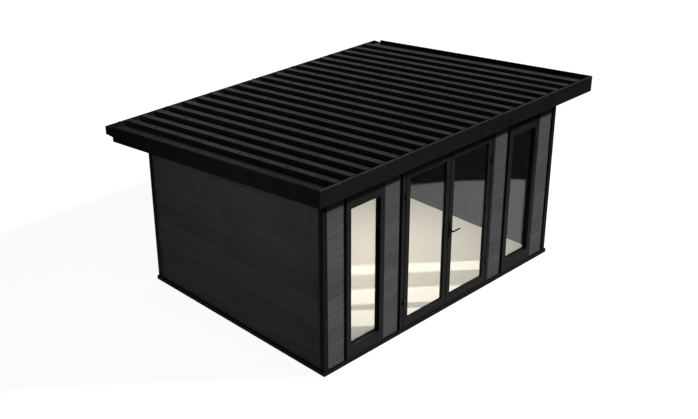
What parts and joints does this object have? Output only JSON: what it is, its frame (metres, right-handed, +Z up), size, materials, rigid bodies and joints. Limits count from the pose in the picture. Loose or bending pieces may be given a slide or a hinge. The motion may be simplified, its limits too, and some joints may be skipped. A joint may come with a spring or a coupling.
{
  "type": "garden shed",
  "caption": "Garden room with a single-pitch ribbed metal roof, dark boarded walls, glazed double doors and fixed side windows",
  "frame": {"origin": "middle of the footprint between the corner posts, on the ground under the floor", "axes": "+X to the right along the glazed front, -Y out of the front, +Z up"},
  "size_m": [4.73, 3.79, 2.5037],
  "materials": {
    "boards": "wood-plastic composite boards with a brushed grain, matte",
    "trim": "powder coated folded steel, fine matte",
    "frames": "powder coated aluminium profiles, satin",
    "roof_sheet": "coated profiled steel sheet, satin",
    "roof_core": "insulated timber roof panel",
    "lining": "painted tongue and groove lining",
    "floor": "pale cream boards, satin",
    "glass": "clear double glazing",
    "hinges": "satin steel",
    "handle": "dark satin steel",
    "threshold": "mill finish aluminium sill"
  },
  "bodies": {
    "shed": {"base_front": "trim", "base_back": "trim", "base_left": "trim", "base_right": "trim", "floor": "floor", "post_front_left": "trim", "post_front_right": "trim", "post_back_left": "trim", "post_back_right": "trim", "wall_left": "boards", "wall_right": "boards", "wall_back": "boards", "panel_outer_left": "boards", "panel_inner_left": "boards", "panel_inner_right": "boards", "panel_outer_right": "boards", "front_beam": "boards", "window_frame_left": "frames", "window_frame_right": "frames", "window_glass_left": "glass", "window_glass_right": "glass", "door_jamb_left": "frames", "door_jamb_right": "frames", "door_head": "frames", "door_threshold": "threshold", "door_stops": "frames", "hinge_jamb_halves": "hinges", "roof_core": "roof_core", "ceiling": "lining", "soffit": "trim", "roof_sheet_1": "roof_sheet", "roof_sheet_2": "roof_sheet", "roof_sheet_3": "roof_sheet", "roof_sheet_4": "roof_sheet", "roof_sheet_5": "roof_sheet", "fascia_front": "trim", "fascia_back": "trim", "barge_left": "trim", "barge_right": "trim", "gutter": "trim"},
    "left_door": {"door_leaf_left": "frames", "door_glass_left": "glass", "hinge_leaf_halves_left": "hinges"},
    "right_door": {"door_leaf_right": "frames", "door_glass_right": "glass", "hinge_leaf_halves_right": "hinges", "handle_plates": "handle"},
    "lever": {"door_lever": "handle"}
  },
  "joints": [
    {"name": "left_door_hinge", "type": "hinge", "parent": "shed", "child": "left_door", "pos_m": [-0.769, -1.56, 0], "axis": [0, 0, -1], "range_deg": [0, 100]},
    {"name": "right_door_hinge", "type": "hinge", "parent": "shed", "child": "right_door", "pos_m": [0.769, -1.56, 0], "axis": [0, 0, 1], "range_deg": [0, 100]},
    {"name": "lever_turn", "type": "hinge", "parent": "right_door", "child": "lever", "pos_m": [0.0385, -1.55, 1.075], "axis": [0, 1, 0], "range_deg": [0, 40], "stiffness_Nm_per_rad": 1.5, "springref_deg": -20.05}
  ]
}
